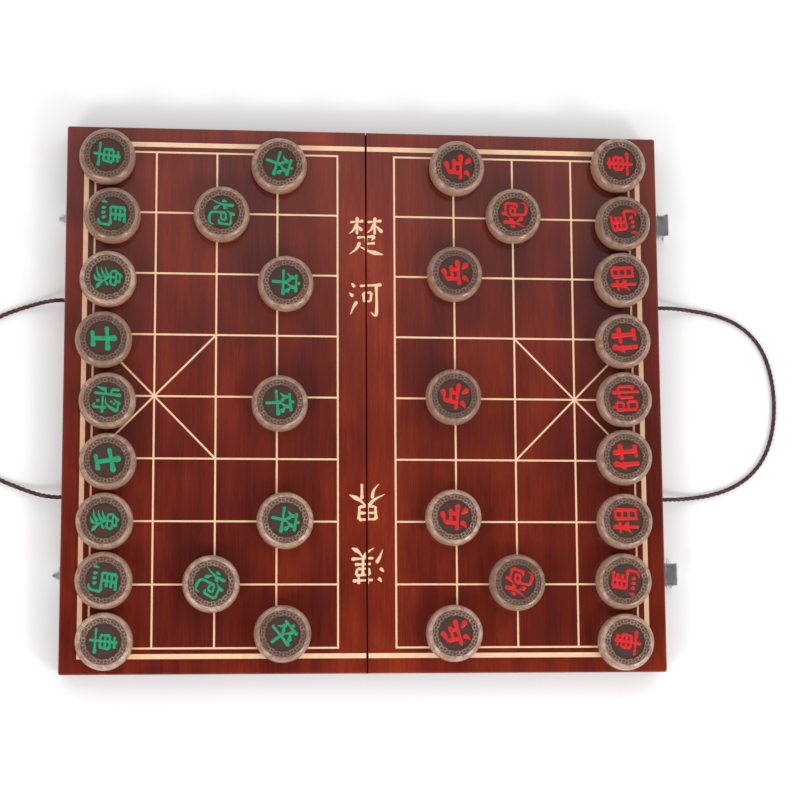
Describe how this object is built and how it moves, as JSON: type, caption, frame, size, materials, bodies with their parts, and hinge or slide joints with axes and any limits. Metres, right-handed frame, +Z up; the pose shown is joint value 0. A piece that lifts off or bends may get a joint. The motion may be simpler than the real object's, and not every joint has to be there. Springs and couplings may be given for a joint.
{
  "type": "folding chinese chess case",
  "caption": "Folding lacquered wooden case that opens flat as a Chinese chess board, with two hinges, two toggle latches, two rope handles and a set of round game pieces.",
  "frame": {"origin": "under the middle of the seam, on the table that the open board lies on", "axes": "+Z up from the table, +X across the river from the left half to the right half, +Y along the seam to the far end"},
  "size_m": [0.7542, 0.487, 0.0501],
  "materials": {
    "lacquered_board": "gloss lacquer over red-brown wood grain",
    "case_wood": "gloss lacquer over red-brown wood grain",
    "hinge_brass": "satin",
    "screw_steel": "satin",
    "latch_nickel": "bright nickel plate",
    "rope": "twisted two-colour cord",
    "green_man_wood": "polished taupe hardwood, green characters",
    "red_man_wood": "polished taupe hardwood, red characters",
    "inlay": "cream printed lines under the lacquer",
    "green_paint": "green paint in the cut characters",
    "red_paint": "red paint in the cut characters"
  },
  "bodies": {
    "left_half": {"far_catch_plate": "latch_nickel", "hinge_pins": "hinge_brass", "left_board_panel": "lacquered_board", "left_far_wall": "case_wood", "left_hinge_leaves": "hinge_brass", "left_hinge_wall": "case_wood", "left_latch_wall": "case_wood", "left_near_wall": "case_wood", "left_rope_handle": "rope", "left_rope_knots": "rope", "left_screws": "screw_steel", "near_catch_plate": "latch_nickel"},
    "right_half": {"far_latch_base": "latch_nickel", "latch_pins": "latch_nickel", "near_latch_base": "latch_nickel", "right_board_panel": "lacquered_board", "right_far_wall": "case_wood", "right_hinge_leaves": "hinge_brass", "right_hinge_wall": "case_wood", "right_latch_wall": "case_wood", "right_near_wall": "case_wood", "right_rope_handle": "rope", "right_rope_knots": "rope", "right_screws": "screw_steel"},
    "far_latch_bail": {"far_latch_bail": "latch_nickel"},
    "far_latch_lever": {"far_latch_lever": "latch_nickel"},
    "near_latch_bail": {"near_latch_bail": "latch_nickel"},
    "near_latch_lever": {"near_latch_lever": "latch_nickel"},
    "green_advisor_far": {"green_advisor_far": "green_man_wood"},
    "green_advisor_near": {"green_advisor_near": "green_man_wood"},
    "green_cannon_far": {"green_cannon_far": "green_man_wood"},
    "green_cannon_near": {"green_cannon_near": "green_man_wood"},
    "green_chariot_far": {"green_chariot_far": "green_man_wood"},
    "green_chariot_near": {"green_chariot_near": "green_man_wood"},
    "green_elephant_far": {"green_elephant_far": "green_man_wood"},
    "green_elephant_near": {"green_elephant_near": "green_man_wood"},
    "green_general": {"green_general": "green_man_wood"},
    "green_horse_far": {"green_horse_far": "green_man_wood"},
    "green_horse_near": {"green_horse_near": "green_man_wood"},
    "green_soldier_1": {"green_soldier_1": "green_man_wood"},
    "green_soldier_2": {"green_soldier_2": "green_man_wood"},
    "green_soldier_3": {"green_soldier_3": "green_man_wood"},
    "green_soldier_4": {"green_soldier_4": "green_man_wood"},
    "green_soldier_5": {"green_soldier_5": "green_man_wood"},
    "red_advisor_far": {"red_advisor_far": "red_man_wood"},
    "red_advisor_near": {"red_advisor_near": "red_man_wood"},
    "red_cannon_far": {"red_cannon_far": "red_man_wood"},
    "red_cannon_near": {"red_cannon_near": "red_man_wood"},
    "red_chariot_far": {"red_chariot_far": "red_man_wood"},
    "red_chariot_near": {"red_chariot_near": "red_man_wood"},
    "red_elephant_far": {"red_elephant_far": "red_man_wood"},
    "red_elephant_near": {"red_elephant_near": "red_man_wood"},
    "red_general": {"red_general": "red_man_wood"},
    "red_horse_far": {"red_horse_far": "red_man_wood"},
    "red_horse_near": {"red_horse_near": "red_man_wood"},
    "red_soldier_1": {"red_soldier_1": "red_man_wood"},
    "red_soldier_2": {"red_soldier_2": "red_man_wood"},
    "red_soldier_3": {"red_soldier_3": "red_man_wood"},
    "red_soldier_4": {"red_soldier_4": "red_man_wood"},
    "red_soldier_5": {"red_soldier_5": "red_man_wood"}
  },
  "joints": [
    {"name": "fold", "type": "hinge", "parent": "left_half", "child": "right_half", "pos_m": [0, 0, 0.0015], "axis": [0, 1, 0], "range_deg": [0, 180]},
    {"name": "far_lever_swing", "type": "hinge", "parent": "right_half", "child": "far_latch_lever", "pos_m": [0.2717, 0.165, 0.01015], "axis": [0, -1, 0], "range_deg": [-75, 20]},
    {"name": "far_bail_swing", "type": "hinge", "parent": "far_latch_lever", "child": "far_latch_bail", "pos_m": [0.27322, 0.165, 0.01492], "axis": [0, 1, 0], "range_deg": [-187, 51]},
    {"name": "near_lever_swing", "type": "hinge", "parent": "right_half", "child": "near_latch_lever", "pos_m": [0.2717, -0.1565, 0.01015], "axis": [0, -1, 0], "range_deg": [-75, 20]},
    {"name": "near_bail_swing", "type": "hinge", "parent": "near_latch_lever", "child": "near_latch_bail", "pos_m": [0.27322, -0.1565, 0.01492], "axis": [0, 1, 0], "range_deg": [-187, 51]},
    {"name": "green_advisor_far_lift", "type": "slide", "parent": "left_half", "child": "green_advisor_far", "axis": [0, 0, 1], "range_m": [0, 0.06]},
    {"name": "green_advisor_near_lift", "type": "slide", "parent": "left_half", "child": "green_advisor_near", "axis": [0, 0, 1], "range_m": [0, 0.06]},
    {"name": "green_cannon_far_lift", "type": "slide", "parent": "left_half", "child": "green_cannon_far", "axis": [0, 0, 1], "range_m": [0, 0.06]},
    {"name": "green_cannon_near_lift", "type": "slide", "parent": "left_half", "child": "green_cannon_near", "axis": [0, 0, 1], "range_m": [0, 0.06]},
    {"name": "green_chariot_far_lift", "type": "slide", "parent": "left_half", "child": "green_chariot_far", "axis": [0, 0, 1], "range_m": [0, 0.06]},
    {"name": "green_chariot_near_lift", "type": "slide", "parent": "left_half", "child": "green_chariot_near", "axis": [0, 0, 1], "range_m": [0, 0.06]},
    {"name": "green_elephant_far_lift", "type": "slide", "parent": "left_half", "child": "green_elephant_far", "axis": [0, 0, 1], "range_m": [0, 0.06]},
    {"name": "green_elephant_near_lift", "type": "slide", "parent": "left_half", "child": "green_elephant_near", "axis": [0, 0, 1], "range_m": [0, 0.06]},
    {"name": "green_general_lift", "type": "slide", "parent": "left_half", "child": "green_general", "axis": [0, 0, 1], "range_m": [0, 0.06]},
    {"name": "green_horse_far_lift", "type": "slide", "parent": "left_half", "child": "green_horse_far", "axis": [0, 0, 1], "range_m": [0, 0.06]},
    {"name": "green_horse_near_lift", "type": "slide", "parent": "left_half", "child": "green_horse_near", "axis": [0, 0, 1], "range_m": [0, 0.06]},
    {"name": "green_soldier_1_lift", "type": "slide", "parent": "left_half", "child": "green_soldier_1", "axis": [0, 0, 1], "range_m": [0, 0.06]},
    {"name": "green_soldier_2_lift", "type": "slide", "parent": "left_half", "child": "green_soldier_2", "axis": [0, 0, 1], "range_m": [0, 0.06]},
    {"name": "green_soldier_3_lift", "type": "slide", "parent": "left_half", "child": "green_soldier_3", "axis": [0, 0, 1], "range_m": [0, 0.06]},
    {"name": "green_soldier_4_lift", "type": "slide", "parent": "left_half", "child": "green_soldier_4", "axis": [0, 0, 1], "range_m": [0, 0.06]},
    {"name": "green_soldier_5_lift", "type": "slide", "parent": "left_half", "child": "green_soldier_5", "axis": [0, 0, 1], "range_m": [0, 0.06]},
    {"name": "red_advisor_far_lift", "type": "slide", "parent": "right_half", "child": "red_advisor_far", "axis": [0, 0, 1], "range_m": [0, 0.06]},
    {"name": "red_advisor_near_lift", "type": "slide", "parent": "right_half", "child": "red_advisor_near", "axis": [0, 0, 1], "range_m": [0, 0.06]},
    {"name": "red_cannon_far_lift", "type": "slide", "parent": "right_half", "child": "red_cannon_far", "axis": [0, 0, 1], "range_m": [0, 0.06]},
    {"name": "red_cannon_near_lift", "type": "slide", "parent": "right_half", "child": "red_cannon_near", "axis": [0, 0, 1], "range_m": [0, 0.06]},
    {"name": "red_chariot_far_lift", "type": "slide", "parent": "right_half", "child": "red_chariot_far", "axis": [0, 0, 1], "range_m": [0, 0.06]},
    {"name": "red_chariot_near_lift", "type": "slide", "parent": "right_half", "child": "red_chariot_near", "axis": [0, 0, 1], "range_m": [0, 0.06]},
    {"name": "red_elephant_far_lift", "type": "slide", "parent": "right_half", "child": "red_elephant_far", "axis": [0, 0, 1], "range_m": [0, 0.06]},
    {"name": "red_elephant_near_lift", "type": "slide", "parent": "right_half", "child": "red_elephant_near", "axis": [0, 0, 1], "range_m": [0, 0.06]},
    {"name": "red_general_lift", "type": "slide", "parent": "right_half", "child": "red_general", "axis": [0, 0, 1], "range_m": [0, 0.06]},
    {"name": "red_horse_far_lift", "type": "slide", "parent": "right_half", "child": "red_horse_far", "axis": [0, 0, 1], "range_m": [0, 0.06]},
    {"name": "red_horse_near_lift", "type": "slide", "parent": "right_half", "child": "red_horse_near", "axis": [0, 0, 1], "range_m": [0, 0.06]},
    {"name": "red_soldier_1_lift", "type": "slide", "parent": "right_half", "child": "red_soldier_1", "axis": [0, 0, 1], "range_m": [0, 0.06]},
    {"name": "red_soldier_2_lift", "type": "slide", "parent": "right_half", "child": "red_soldier_2", "axis": [0, 0, 1], "range_m": [0, 0.06]},
    {"name": "red_soldier_3_lift", "type": "slide", "parent": "right_half", "child": "red_soldier_3", "axis": [0, 0, 1], "range_m": [0, 0.06]},
    {"name": "red_soldier_4_lift", "type": "slide", "parent": "right_half", "child": "red_soldier_4", "axis": [0, 0, 1], "range_m": [0, 0.06]},
    {"name": "red_soldier_5_lift", "type": "slide", "parent": "right_half", "child": "red_soldier_5", "axis": [0, 0, 1], "range_m": [0, 0.06]}
  ],
  "couplings": [
    {"joint": "far_bail_swing", "follows": "far_lever_swing", "ratio": 2.4781},
    {"joint": "near_bail_swing", "follows": "near_lever_swing", "ratio": 2.4781}
  ]
}
